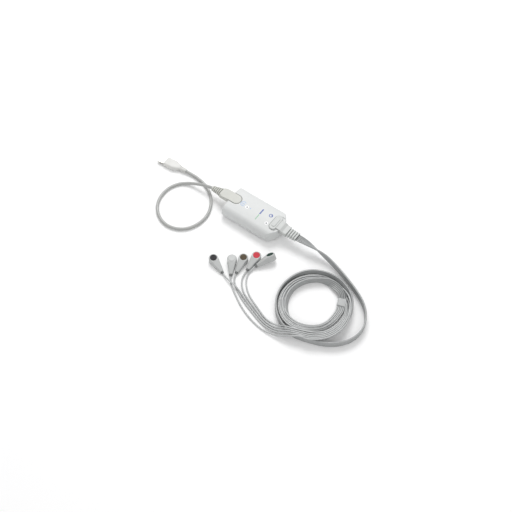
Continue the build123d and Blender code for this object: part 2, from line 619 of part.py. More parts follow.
def make_snap_body():
    """A teardrop moulding: tall round head, sloping back to a thin tail."""
    head = Circle(SNAP_HEAD_RADIUS)
    lean = math.asin((SNAP_HEAD_RADIUS - SNAP_TAIL_HALF) / SNAP_TAIL_X)
    edge_x = SNAP_HEAD_RADIUS * math.sin(lean)
    edge_y = SNAP_HEAD_RADIUS * math.cos(lean)
    flank = Polyline((edge_x, -edge_y), (SNAP_TAIL_X, -SNAP_TAIL_HALF),
                     (SNAP_TAIL_X, SNAP_TAIL_HALF), (edge_x, edge_y), (edge_x, -edge_y))
    body = extrude(head + make_face(flank), amount=SNAP_HEIGHT)
    tail_bottom, tail_top = SNAP_TAIL_Z
    side = Polyline((-CUT, 0), (SNAP_TAIL_X, tail_bottom), (SNAP_TAIL_X, tail_top),
                    (SNAP_CREST_X, SNAP_HEIGHT), (-CUT, SNAP_HEIGHT), (-CUT, 0))
    body &= extrude(Plane.XZ * make_face(side), amount=CUT, both=True)
    body = fillet(body.edges().filter_by(crest_fold), SNAP_FOLD_ROUND)
    body = fillet(body.edges().filter_by(upper_rim), SNAP_ROUND)
    body -= post(0, 0, CAP_SEAT_Z, CUT, CAP_RADIUS + 0.05)
    return body - post(0, 0, -1, SOCKET_TOP_Z, SOCKET_RADIUS)


def make_snap_collar():
    """The lead's boot: a short collar on the tail's end and a neck down to the wire."""
    start = Pos(SNAP_TAIL_X, 0, SNAP_WIRE_Z) * Rot(0, 90, 0)
    ahead = (Align.CENTER, Align.CENTER, Align.MIN)
    neck_length = SNAP_WIRE_X - SNAP_TAIL_X - COLLAR_LENGTH
    neck = Cone(COLLAR_RADIUS - 0.3, WIRE_NECK_RADIUS, neck_length, align=ahead)
    return start * (Cylinder(COLLAR_RADIUS, COLLAR_LENGTH, align=ahead)
                    + Pos(0, 0, COLLAR_LENGTH) * neck)


def make_snap_cap():
    cap = post(0, 0, CAP_SEAT_Z, SNAP_HEIGHT + 0.5, CAP_RADIUS)
    return fillet(cap.faces().sort_by(Axis.Z)[-1].edges(), 0.35)


def make_snap_socket():
    cup = post(0, 0, SOCKET_MOUTH_Z, SOCKET_TOP_Z, SOCKET_RADIUS)
    cup -= post(0, 0, 0, SOCKET_MOUTH_Z + SOCKET_DEPTH, STUD_RADIUS)
    return cup - post(0, 0, 2.0, 2.9, STUD_RADIUS + 0.75)


def make_snap_spring():
    ring = Pos(0, 0, 2.45) * Torus(STUD_RADIUS + 0.36, 0.3)
    return ring - block((-5, 0), (-0.6, 0.6), (0, 5))


# ---- cords ----------------------------------------------------------------------
def rounded_path(points):
    """Straight runs joined by tangent arcs, each as large as its two runs allow."""
    corners = [Vector(*point) for point in points]
    radii = []
    for before, corner, after in zip(corners, corners[1:], corners[2:]):
        turn = math.radians((corner - before).get_angle(after - corner))
        run = min((corner - before).length, (after - corner).length)
        radii.append(0.45 * run / math.tan(turn / 2))
    return FilletPolyline(*points, radius=radii), radii


def tube(name, points, diameter):
    path, radii = rounded_path(points)
    profile = Plane(origin=path @ 0, z_dir=path % 0) * Circle(diameter / 2)
    solid = sweep(profile, path=path)
    report_cord(name, path, radii, solid, math.pi * diameter ** 2 / 4, diameter)
    return solid


def band(name, points, width, thick):
    """A flat cord laid on edge: the section's long side stays upright."""
    path, radii = rounded_path(points)
    profile = Plane(origin=path @ 0, x_dir=(0, 0, 1), z_dir=path % 0) * Rectangle(width, thick)
    solid = sweep(profile, path=path)
    report_cord(name, path, radii, solid, width * thick, width)
    return solid


def report_cord(name, path, radii, solid, section, diameter):
    expected = section * path.length
    print(f"{name}: length {path.length:.0f}, volume {solid.volume / expected:.3f} of expected, "
          f"tightest radius {min(radii) / diameter:.1f} diameters, "
          f"radii {[round(radius) for radius in radii]}")


YOKE_PLACE = (180.0, -45.5)
YOKE_HEADING = -70.0
YOKE_SIZE = (13.0, 12.4, 4.6)


def make_lead_yoke(gap):
    length, width, height = (value + 2 * gap for value in YOKE_SIZE)
    yoke = Box(length, width, height)
    if not gap:
        yoke = fillet(yoke.edges(), 1.2)
    return Pos(*YOKE_PLACE, YOKE_SIZE[2] / 2 + 0.4) * Rot(0, 0, YOKE_HEADING) * yoke


def make_coil():
    """Outer form of the coiled ribbon and leads, with a pocket for the yoke."""
    ring = post(*COIL_CENTRE, 0.05, COIL_HEIGHT, COIL_OUTER)
    ring -= post(*COIL_CENTRE, -1, CUT, COIL_INNER)
    return ring - make_lead_yoke(0.3)


# ---- build ----------------------------------------------------------------------
os.makedirs("parts", exist_ok=True)
case = outer_case()
inside = loaf(WALL)
write("base_shell", make_base_shell(case, inside))
write("top_shell", make_top_shell(case, inside))
write("housing_screws", at_corners(BOSS_X, BOSS_Y, make_housing_screw))
write("rubber_feet", at_corners(BOSS_X, BOSS_Y, make_rubber_foot))

write("main_board", make_main_board())
write("board_screws", at_corners(STANDOFF_X, STANDOFF_Y, make_board_screw))
write("shield_can", make_shield_can())
write("front_end_chip", chip(14, 0, 9, 9, 1.2))
write("processor_chip", chip(-20, -9, 9, 8, 1.2))
write("digital_isolators", make_digital_isolators())
write("isolation_converter", make_isolation_converter())
write("capacitors", make_capacitor(-20, 9) + make_capacitor(-20, 16))
write("protection_resistors", Part() + [make_resistor(y) for y in (-4.8, -2.4, 0, 2.4, 4.8)])
write("crystal", make_crystal())
write("status_leds", Part() + [make_led(x, y) for x, y in LIGHT_PIPE_PLACES])
write("light_pipes", Part() + [make_light_pipe(x, y) for x, y in LIGHT_PIPE_PLACES])

usb_receptacle = sleeve(RECEPTACLE_X, *USB_RECEPTACLE_HALF, USB_AXIS_Z, 0.5, RECEPTACLE_BACK)
patient_receptacle = sleeve(
    RECEPTACLE_X, *PATIENT_RECEPTACLE_HALF, PATIENT_AXIS_Z, 0.4, RECEPTACLE_BACK)
write("usb_receptacle", towards_usb(usb_receptacle))
write("usb_receptacle_tongue", towards_usb(make_tongue(USB_TONGUE_HALF, USB_AXIS_Z)))
write("usb_receptacle_contacts", towards_usb(make_contacts(5, 0.8, USB_AXIS_Z)))
write("patient_receptacle", patient_receptacle)
write("patient_receptacle_tongue", make_tongue(PATIENT_TONGUE_HALF, PATIENT_AXIS_Z))
write("patient_receptacle_contacts", make_contacts(10, 1.1, PATIENT_AXIS_Z))

write("usb_plug_body", make_usb_plug_body())
write("usb_plug_insert", towards_usb(make_insert(USB_INSERT_HALF, USB_AXIS_Z)))
write("usb_plug_core", towards_usb(make_core(USB_INSERT_HALF, USB_TONGUE_HALF, USB_AXIS_Z)))
write("usb_strain_relief", make_usb_strain_relief())
write("usb_cord", tube("usb_cord", USB_ROUTE, USB_CORD_DIAMETER))
write("computer_plug_relief", place_computer_plug(make_computer_plug_relief()))
write("computer_plug_body", place_computer_plug(make_computer_plug_body()))
write("computer_plug_shell", place_computer_plug(make_computer_plug_shell()))
write("computer_plug_tongue", place_computer_plug(make_computer_plug_tongue()))
write("computer_plug_contacts", place_computer_plug(make_computer_plug_contacts()))

write("patient_plug_body", make_patient_plug_body())
write("patient_plug_grip", make_patient_plug_grip())
write("patient_plug_insert", make_insert(PATIENT_INSERT_HALF, PATIENT_AXIS_Z))
write("patient_plug_core", make_core(PATIENT_INSERT_HALF, PATIENT_TONGUE_HALF, PATIENT_AXIS_Z))
write("patient_strain_relief", make_patient_strain_relief())

split_before, split_after = RIBBON_ROUTE[RIBBON_SPLIT], RIBBON_ROUTE[RIBBON_SPLIT + 1]
split = tuple((low + high) / 2 for low, high in zip(split_before, split_after))
write("ribbon_drop", tube("ribbon_drop", RIBBON_ROUTE[:RIBBON_SPLIT + 1] + [split], RIBBON_ROUND))
write("ribbon_lay", band(
    "ribbon_lay", [split] + RIBBON_ROUTE[RIBBON_SPLIT + 1:], RIBBON_WIDTH, RIBBON_THICK))
write("cable_coil", make_coil())
write("lead_yoke", make_lead_yoke(0))

for colour, route in LEAD_ROUTES.items():
    write(f"lead_wire_{colour}", tube(f"lead_wire_{colour}", route, LEAD_DIAMETER))
    write(f"snap_body_{colour}", place_snap(make_snap_body(), colour))
    write(f"snap_cap_{colour}", place_snap(make_snap_cap(), colour))
write("snap_collars", Part() + [place_snap(make_snap_collar(), c) for c in SNAP_POSES])
write("snap_sockets", Part() + [place_snap(make_snap_socket(), c) for c in SNAP_POSES])
write("snap_springs", Part() + [place_snap(make_snap_spring(), c) for c in SNAP_POSES])
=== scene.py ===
import bpy
import json
import math
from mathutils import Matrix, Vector


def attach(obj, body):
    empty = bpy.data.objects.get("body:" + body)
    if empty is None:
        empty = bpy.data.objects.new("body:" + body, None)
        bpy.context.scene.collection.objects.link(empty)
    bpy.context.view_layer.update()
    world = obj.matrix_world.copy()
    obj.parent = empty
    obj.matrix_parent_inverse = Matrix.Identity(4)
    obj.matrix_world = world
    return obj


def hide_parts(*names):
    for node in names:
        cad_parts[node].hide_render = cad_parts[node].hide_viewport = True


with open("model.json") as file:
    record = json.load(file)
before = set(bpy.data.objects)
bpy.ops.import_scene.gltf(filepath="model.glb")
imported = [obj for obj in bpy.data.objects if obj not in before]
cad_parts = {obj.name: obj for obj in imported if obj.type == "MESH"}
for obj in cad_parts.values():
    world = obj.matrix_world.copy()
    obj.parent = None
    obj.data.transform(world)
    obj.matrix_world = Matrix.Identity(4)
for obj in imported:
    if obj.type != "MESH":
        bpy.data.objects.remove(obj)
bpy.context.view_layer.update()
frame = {"nodes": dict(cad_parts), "record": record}
nodes = frame["nodes"]
MM = 0.001
UP = Vector((0, 0, 1))

# ---- camera ------------------------------------------------------------------------------
CAMERA_PLACE = Vector((385.2, -527.9, 928.8)) * MM
CAMERA_TARGET = Vector((37.1, -52.2, 0)) * MM
CAMERA_LENS = 53.4
CAMERA_REACH = 10            # metres

# ---- floor and light, in metres and watts ------------------------------------------------
FLOOR_SIZE = 12
FLOOR_COLOUR = (0.97, 0.97, 0.972, 1)
FLOOR_ROUGHNESS = 0.75
FLOOR_SPECULAR = 0.15
KEY_LIGHT = dict(place=Vector((-0.55, 0.75, 1.25)), size=0.9, power=13.5)
FILL_LIGHT = dict(place=Vector((0.9, -0.6, 1.1)), size=1.2, power=2.8)
WORLD_STRENGTH = 0.68

# ---- cords: routes in millimetres, as the CAD lays them ----------------------------------
USB_CORD_DIAMETER = 4.7
RIBBON_WIDTH = 11.9
RIBBON_CORES = 5
RIBBON_HALF_THICK = 1.2
CORE_RADIUS = 1.55           # of each bonded conductor's rounded face
EDGE_ROUND = (0.5, 0.55)     # how far the ribbon's edges draw in, along and across its width
LEAD_DIAMETER = 2.3
FLOOR_USB = 2.4              # these three: the height of a cord's middle on the desk
FLOOR_RIBBON = 6.2
FLOOR_LEAD = 1.25

USB_ROUTE = [
    (-82, 0, 14.2), (-94, -1, 12.4), (-108, -3.6, 8.2), (-122, -7.4, 3.6),
    (-134, -15.5, FLOOR_USB), (-141.5, -28.5, FLOOR_USB), (-143.5, -43, FLOOR_USB),
    (-141, -58, FLOOR_USB), (-134, -71, FLOOR_USB), (-122.5, -81.5, FLOOR_USB),
    (-108, -87.5, FLOOR_USB), (-93, -87.5, FLOOR_USB), (-79, -81.5, FLOOR_USB),
    (-69, -70.5, FLOOR_USB), (-63.5, -56.5, FLOOR_USB), (-62.5, -41.5, FLOOR_USB),
    (-66.5, -27, FLOOR_USB), (-74.5, -14, FLOOR_USB), (-85, -3.8, FLOOR_USB),
    (-98, 3.6, FLOOR_USB), (-113, 7.8, FLOOR_USB), (-127, 8.6, 3.1), (-141, 7.4, 4.1),
]
RIBBON_ROUTE = [
    (73, 0, 17), (86, 0.6, 16.6), (100, 1.2, 14.2), (114, 1.5, 10.9), (128, 0, 8.2),
    (143, -3.6, 6.7), (159, -8.8, FLOOR_RIBBON), (176, -15.6, FLOOR_RIBBON),
    (192, -23, FLOOR_RIBBON), (206, -31.5, FLOOR_RIBBON), (217, -42.5, FLOOR_RIBBON),
    (224.5, -56.5, FLOOR_RIBBON), (226.5, -71.5, FLOOR_RIBBON), (223, -87, FLOOR_RIBBON),
    (214.5, -100, FLOOR_RIBBON), (203, -110, FLOOR_RIBBON), (191, -117, FLOOR_RIBBON),
    (178, -121.5, FLOOR_RIBBON),
]
# Each lead's free stretch; the first two points stand over the coiled ribbon.
LEAD_ROUTES = {
    "green": [
        (148, -123.6, 13.6), (137, -125.2, 10.5), (126, -129.2, 4),
        (107.8, -127.8, FLOOR_LEAD), (90.5, -120.6, FLOOR_LEAD), (73.5, -114, FLOOR_LEAD),
        (62, -107, FLOOR_LEAD), (52.4, -97.2, FLOOR_LEAD), (47.2, -87, 1.4),
        (46.4, -78, 2.8), (47.8, -69.9, 4.3),
    ],
    "red": [
        (152.5, -124.8, 13.6), (141, -127.4, 11), (128.5, -132.4, 4),
        (108.3, -131.2, FLOOR_LEAD), (89, -124, FLOOR_LEAD), (71, -117.6, FLOOR_LEAD),
        (57.5, -111.2, FLOOR_LEAD), (47.5, -101.5, FLOOR_LEAD), (42.9, -91.5, 1.6),
        (42.1, -82.1, 2.6),
    ],
    "black": [
        (157, -125.6, 13.8), (145, -129.5, 11.5), (130.5, -135.3, 4),
        (109, -134.6, FLOOR_LEAD), (88.5, -127.3, FLOOR_LEAD), (70, -120.8, FLOOR_LEAD),
        (57, -115.6, 2.4), (48.5, -112.8, 4.4), (40.5, -111.1, 4.6), (31.5, -109.8, 4.4),
        (25, -108, 3.3), (17.9, -105.2, 2.6),
    ],
    "brown": [
        (161.5, -125.8, 13.8), (148.5, -131.5, 11.5), (132, -138.3, 4),
        (110, -138, FLOOR_LEAD), (88, -131, FLOOR_LEAD), (69.5, -124.6, FLOOR_LEAD),
        (53.5, -117, FLOOR_LEAD), (42, -109, FLOOR_LEAD), (35.3, -103, 1.5),
        (33.1, -95.3, 2.6),
    ],
    "white": [
        (166, -125.5, 13.8), (153, -133.5, 12), (136, -141.5, 4),
        (114, -144.5, FLOOR_LEAD), (91, -140.4, FLOOR_LEAD), (71, -132.8, FLOOR_LEAD),
        (53, -122.5, FLOOR_LEAD), (42.5, -115.8, FLOOR_LEAD), (34.9, -110.2, 1.4),
        (29.6, -102.7, 2.6),
    ],
}

# ---- the coil: places are turned clockwise from where the ribbon meets it ----------------
COIL_CENTRE = (153.0, -73.0)
COIL_START = -62.7           # degrees from +X
COIL_STEP = 24.0             # degrees from one control point to the next
RIBBON_TOP = 12.2            # height of the ribbon's top edge where it stands on edge
# (degrees turned, radius)
RIBBON_SPIRAL = [
    (0, 54.4), (150, 53.6), (230, 52.2), (297, 48.0), (345, 43.2), (390, 40.4),
    (470, 39.6), (520, 40.2), (550, 42.5), (572, 44.6), (588, 43.6),
]
RIBBON_COILED = 586          # degrees turned where the ribbon leaves the coil for the yoke
RIBBON_ON_EDGE = 530         # beyond this the ribbon lies flatter and the leads pass under it
LEAN = math.radians(22.0)    # of the inner turn, its top edge outwards
# (start, length) of each change in the ribbon's roll, in mm along it; the last two count
# back from its end
ONTO_EDGE = (-4, 62)
INTO_LEAN = (380, 40)
OUT_OF_LEAN = (60, 60)
ONTO_FLAT = (56, 44)

YOKE_PLACE = Vector((180.0, -45.5))
YOKE_HEADING = math.radians(-70.0)
YOKE_LENGTH = 13.0
YOKE_MIDDLE_Z = 2.9
RIBBON_NEAR_YOKE_Z = 5.2
LEAD_NEAR_YOKE_Z = 2.7
RIBBON_LEADS_IN = 4          # from the yoke's end to the ribbon's points before and inside it
LEADS_START_IN = 2           # from the yoke's end to the leads' first points, inside it
LEADS_AHEAD = 6              # and to their second points, outside it
# (degrees turned, radius, height, spread): the leads' common line and how they pack,
# with a spread of 1 where they lie in two layers and 2 where they lie side by side
LEAD_SPIRAL = [
    (632, 34.2, 2.6, 1.9), (650, 31.8, 2.4, 1.9), (671, 30.6, 1.6, 1.7),
    (693, 32.0, 1.6, 1.5), (712, 35.6, 9.0, 1.7), (735, 41.2, 13.6, 1.9),
    (760, 45.0, 12.6, 1.9), (790, 46.8, 8.0, 1.5), (825, 46.8, 6.0, 1.3),
    (880, 46.8, 5.0, 1.3), (905, 46.9, 2.6, 1.25), (925, 46.4, 1.25, 1.2),
    (965, 45.6, 1.25, 1.2), (985, 45.6, 4.0, 1.4), (1005, 46.0, 10.0, 1.7),
    (1030, 47.8, 13.6, 1.9), (1062, 50.0, 13.8, 1.95), (1086, 51.0, 14.0, 1.95),
]
LANE = 1.2                   # between leads, across the bundle, at a spread of 1
LEADS_LEAVE = (8, 4)         # degrees before the spiral's end, less so much for each lane
LIFT_GAP = 3.8               # a lead this near a turn of ribbon begins to climb over it
LIFT_RUN = 1.3               # and is on top this much nearer
LIFT_OVER = 1.4              # from the ribbon's top edge to a lead's middle


def empty_material(name):
    material = bpy.data.materials.new(name)
    material.use_nodes = True
    return material, material.node_tree, material.node_tree.nodes["Principled BSDF"]


# ---- camera, floor and light -------------------------------------------------------------
def make_camera():
    data = bpy.data.cameras.new("camera")
    data.lens = CAMERA_LENS
    data.clip_end = CAMERA_REACH
    camera = bpy.data.objects.new("camera", data)
    camera.location = CAMERA_PLACE
    camera.rotation_mode = "QUATERNION"
    camera.rotation_quaternion = (CAMERA_TARGET - CAMERA_PLACE).to_track_quat("-Z", "Y")
    bpy.context.scene.collection.objects.link(camera)
    bpy.context.scene.camera = camera


def make_floor():
    bpy.ops.mesh.primitive_plane_add(size=FLOOR_SIZE, location=(0, 0, 0))
    floor = bpy.context.object
    floor.name = "floor"
    material, _, shader = empty_material("floor_white")
    shader.inputs["Base Color"].default_value = FLOOR_COLOUR
    shader.inputs["Roughness"].default_value = FLOOR_ROUGHNESS
    shader.inputs["Specular IOR Level"].default_value = FLOOR_SPECULAR
    floor.data.materials.append(material)


def area_light(name, place, size, power):
    data = bpy.data.lights.new(name, "AREA")
    data.shape = "DISK"
    data.size = size
    data.energy = power
    light = bpy.data.objects.new(name, data)
    light.location = place
    light.rotation_mode = "QUATERNION"
    light.rotation_quaternion = (CAMERA_TARGET - light.location).to_track_quat("-Z", "Y")
    bpy.context.scene.collection.objects.link(light)


def make_light():
    area_light("key", **KEY_LIGHT)
    area_light("fill", **FILL_LIGHT)
    world = bpy.data.worlds.new("studio")
    world.use_nodes = True
    background = world.node_tree.nodes["Background"]
    background.inputs["Color"].default_value = (1, 1, 1, 1)
    background.inputs["Strength"].default_value = WORLD_STRENGTH
    bpy.context.scene.world = world
    bpy.context.scene.view_settings.view_transform = "Standard"


# ---- cords -------------------------------------------------------------------------------
def nurbs(name, points, radius=0.0):
    """One open NURBS spline through the object's space, with millimetre points as its controls."""
    data = bpy.data.curves.new(name, "CURVE")
    data.dimensions = "3D"
    data.resolution_u = 8
    spline = data.splines.new("NURBS")
    spline.points.add(len(points) - 1)
    for control, point in zip(spline.points, points):
        control.co = (*(Vector(point) * MM), 1)
        control.radius = radius
    spline.order_u = 3
    spline.use_endpoint_u = True
    piece = bpy.data.objects.new(name, data)
    bpy.context.scene.collection.objects.link(piece)
    return piece


def follow(points):
    """The points that a NURBS spline with these controls passes through, in metres."""
    guide = nurbs("guide", points)
    mesh = bpy.data.meshes.new_from_object(guide)
    line = [vertex.co.copy() for vertex in mesh.vertices]
    bpy.data.objects.remove(guide)
    bpy.data.meshes.remove(mesh)
    return line


def round_cord(name, points, diameter):
    cord = nurbs(name, points, radius=diameter * MM / 2)
    cord.data.bevel_depth = 1
    cord.data.bevel_resolution = 4
    cord.data.use_fill_caps = True
    return cord


def between(knots, place):
    """The values of a list of (place, value, ...) knots at one place, run straight between them."""
    if place <= knots[0][0]:
        return knots[0][1:]
    for low, high in zip(knots, knots[1:]):
        if place <= high[0]:
            share = (place - low[0]) / (high[0] - low[0])
            return tuple(a + (b - a) * share for a, b in zip(low[1:], high[1:]))
    return knots[-1][1:]


def coil_point(turned, radius, height):
    """A control point of a turn: further out than the turn, because the spline cuts corners."""
    angle = math.radians(COIL_START - turned)
    reach = radius / math.cos(math.radians(COIL_STEP / 2))
    return (COIL_CENTRE[0] + reach * math.cos(angle),
            COIL_CENTRE[1] + reach * math.sin(angle), height)


def steps(start, end):
    count = round((end - start) / COIL_STEP)
    return [start + (end - start) * i / count for i in range(count + 1)]


def yoke_point(along, across, height):
    heading = Vector((math.cos(YOKE_HEADING), math.sin(YOKE_HEADING)))
    side = Vector((-heading.y, heading.x))
    place = YOKE_PLACE + heading * along + side * across
    return (place.x, place.y, height)


def ribbon_controls():
    turns = [coil_point(t, between(RIBBON_SPIRAL, t)[0], FLOOR_RIBBON)
             for t in steps(COIL_STEP, RIBBON_COILED)]
    back = -YOKE_LENGTH / 2
    ending = [yoke_point(back - RIBBON_LEADS_IN, 0, RIBBON_NEAR_YOKE_Z),
              yoke_point(back + RIBBON_LEADS_IN, 0, YOKE_MIDDLE_Z)]
    return RIBBON_ROUTE + turns + ending


def clear_of_ribbon(turned, radius, height):
    """Lift a lead over the ribbon's top edge where it runs close to or across one of its turns."""
    for turn in (360, 720, 1080):
        passed = turned - turn
        if not 0 <= passed <= RIBBON_ON_EDGE:
            continue
        gap = abs(radius - between(RIBBON_SPIRAL, passed)[0])
        near = smooth((LIFT_GAP - gap) / LIFT_RUN)
        height = max(height, FLOOR_LEAD + near * (RIBBON_TOP + LIFT_OVER - FLOOR_LEAD))
    return height


def lead_controls(colour, lane):
    front = YOKE_LENGTH / 2
    across = lane * LEAD_DIAMETER
    points = [yoke_point(front - LEADS_START_IN, across, YOKE_MIDDLE_Z),
              yoke_point(front + LEADS_AHEAD, across, LEAD_NEAR_YOKE_Z)]
    leave = LEAD_SPIRAL[-1][0] - LEADS_LEAVE[0] + LEADS_LEAVE[1] * lane
    for turned in steps(LEAD_SPIRAL[0][0], leave):
        radius, height, spread = between(LEAD_SPIRAL, turned)
        radius += LANE * spread * lane
        if lane % 2:
            height += math.sqrt(max(0, LEAD_DIAMETER ** 2 - (LANE * spread) ** 2))
        height = clear_of_ribbon(turned, radius, height)
        points.append(coil_point(turned, radius, height))
    return points + LEAD_ROUTES[colour]


def ribbon_profile():
    """Outline of the bonded conductors: (along the width, across the thickness), in mm."""
    pitch = RIBBON_WIDTH / RIBBON_CORES
    reach = math.asin(pitch / 2 / CORE_RADIUS)
    face = []
    for core in range(RIBBON_CORES):
        middle = (core - (RIBBON_CORES - 1) / 2) * pitch
        for step in range(5):
            turn = reach * (step / 2 - 1)
            face.append((middle + CORE_RADIUS * math.sin(turn),
                         RIBBON_HALF_THICK - CORE_RADIUS * (1 - math.cos(turn))))
    edge = RIBBON_WIDTH / 2
    along, across = EDGE_ROUND
    face[0] = (-edge + along, RIBBON_HALF_THICK - across)
    face[-1] = (edge - along, RIBBON_HALF_THICK - across)
    back = [(w, -t) for w, t in reversed(face)]
    return face + [(edge, 0)] + back + [(-edge, 0)]


def smooth(value):
    value = min(1, max(0, value))
    return value * value * (3 - 2 * value)


def ribbon_roll(travelled, total):
    """How far the ribbon has rolled: flat at both its ends, on edge and leaning out between."""
    left = total - travelled
    onto_edge = smooth((travelled - ONTO_EDGE[0]) / ONTO_EDGE[1])
    leaning = smooth((travelled - INTO_LEAN[0]) / INTO_LEAN[1])
    leaning *= smooth((left - OUT_OF_LEAN[0]) / OUT_OF_LEAN[1])
    onto_flat = smooth((ONTO_FLAT[0] - left) / ONTO_FLAT[1])
    return math.pi / 2 * (onto_edge + onto_flat) + LEAN * leaning


def make_ribbon():
    line = follow(ribbon_controls())
    runs = [0.0]
    for here, there in zip(line, line[1:]):
        runs.append(runs[-1] + (there - here).length / MM)
    profile = ribbon_profile()
    vertices = []
    for index, place in enumerate(line):
        before, after = line[max(0, index - 1)], line[min(len(line) - 1, index + 1)]
        ahead = (after - before).normalized()
        side = UP.cross(ahead).normalized()
        above = ahead.cross(side)
        roll = ribbon_roll(runs[index], runs[-1])
        width = side * math.cos(roll) - above * math.sin(roll)
        thick = above * math.cos(roll) + side * math.sin(roll)
        vertices += [place + (width * w + thick * t) * MM for w, t in profile]
    count = len(profile)
    faces = [list(range(count))[::-1]]
    for ring in range(len(line) - 1):
        low, high = ring * count, (ring + 1) * count
        faces += [(low + i, low + (i + 1) % count, high + (i + 1) % count, high + i)
                  for i in range(count)]
    faces.append([(len(line) - 1) * count + i for i in range(count)])
    return mesh_piece("ribbon_cable", vertices, faces), line


def mesh_piece(name, vertices, faces, smooth_faces=True):
    mesh = bpy.data.meshes.new(name)
    mesh.from_pydata(vertices, [], faces)
    mesh.validate()
    mesh.update()
    if smooth_faces:
        mesh.shade_smooth()
    piece = bpy.data.objects.new(name, mesh)
    bpy.context.scene.collection.objects.link(piece)
    return piece


def make_cords():
    usb = round_cord("usb_cord_curve", USB_ROUTE, USB_CORD_DIAMETER)
    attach(usb, "usb_cable")
    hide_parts("usb_cord")

    ribbon, line = make_ribbon()
    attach(ribbon, "patient_cable")
    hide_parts("ribbon_drop", "ribbon_lay", "cable_coil")

    leads = {}
    for lane, colour in enumerate(LEAD_ROUTES, -2):
        controls = lead_controls(colour, lane)
        lead = round_cord(f"lead_{colour}", controls, LEAD_DIAMETER)
        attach(lead, "patient_cable")
        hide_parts(f"lead_wire_{colour}")
        leads[colour] = lead
    return usb, ribbon, leads


# ---- materials ---------------------------------------------------------------------------
BLOTCH_EDGES = (0.3, 0.7)    # of the noise, where a surface's colour stops changing
GLOSS_SWING = 0.06           # how far roughness strays to either side
BUMP_STRENGTH = 0.5


def moulded(name, colour, roughness=0.45, grain=0.35, depth=0.02, blotch=9.0, contrast=0.05,
            metallic=0.0, specular=0.5, coat=0.0):
    """A surface with slow blotches of colour, uneven gloss and a fine grain. Grain and blotch
    are the sizes of those patterns and depth the grain's height, in millimetres."""
    material, tree, shader = empty_material(name)
    make, link = tree.nodes.new, tree.links.new
    place = make("ShaderNodeTexCoord")

    blotches = make("ShaderNodeTexNoise")
    blotches.inputs["Scale"].default_value = 1 / (blotch * MM)
    blotches.inputs["Detail"].default_value = 3
    link(place.outputs["Object"], blotches.inputs["Vector"])
    ramp = make("ShaderNodeValToRGB")
    ramp.color_ramp.elements[0].position = BLOTCH_EDGES[0]
    ramp.color_ramp.elements[1].position = BLOTCH_EDGES[1]
    ramp.color_ramp.elements[0].color = (*(c * (1 - contrast) for c in colour), 1)
    ramp.color_ramp.elements[1].color = (*(min(1, c * (1 + contrast)) for c in colour), 1)
    link(blotches.outputs["Fac"], ramp.inputs["Fac"])
    link(ramp.outputs["Color"], shader.inputs["Base Color"])

    grains = make("ShaderNodeTexNoise")
    grains.inputs["Scale"].default_value = 1 / (grain * MM)
    grains.inputs["Detail"].default_value = 2
    link(place.outputs["Object"], grains.inputs["Vector"])
    gloss = make("ShaderNodeMapRange")
    gloss.inputs["To Min"].default_value = roughness - GLOSS_SWING
    gloss.inputs["To Max"].default_value = roughness + GLOSS_SWING
    link(grains.outputs["Fac"], gloss.inputs["Value"])
    link(gloss.outputs["Result"], shader.inputs["Roughness"])
    bump = make("ShaderNodeBump")
    bump.inputs["Strength"].default_value = BUMP_STRENGTH
    bump.inputs["Distance"].default_value = depth * MM
    link(grains.outputs["Fac"], bump.inputs["Height"])
    link(bump.outputs["Normal"], shader.inputs["Normal"])

    shader.inputs["Metallic"].default_value = metallic
    shader.inputs["Specular IOR Level"].default_value = specular
    shader.inputs["Coat Weight"].default_value = coat
    return material


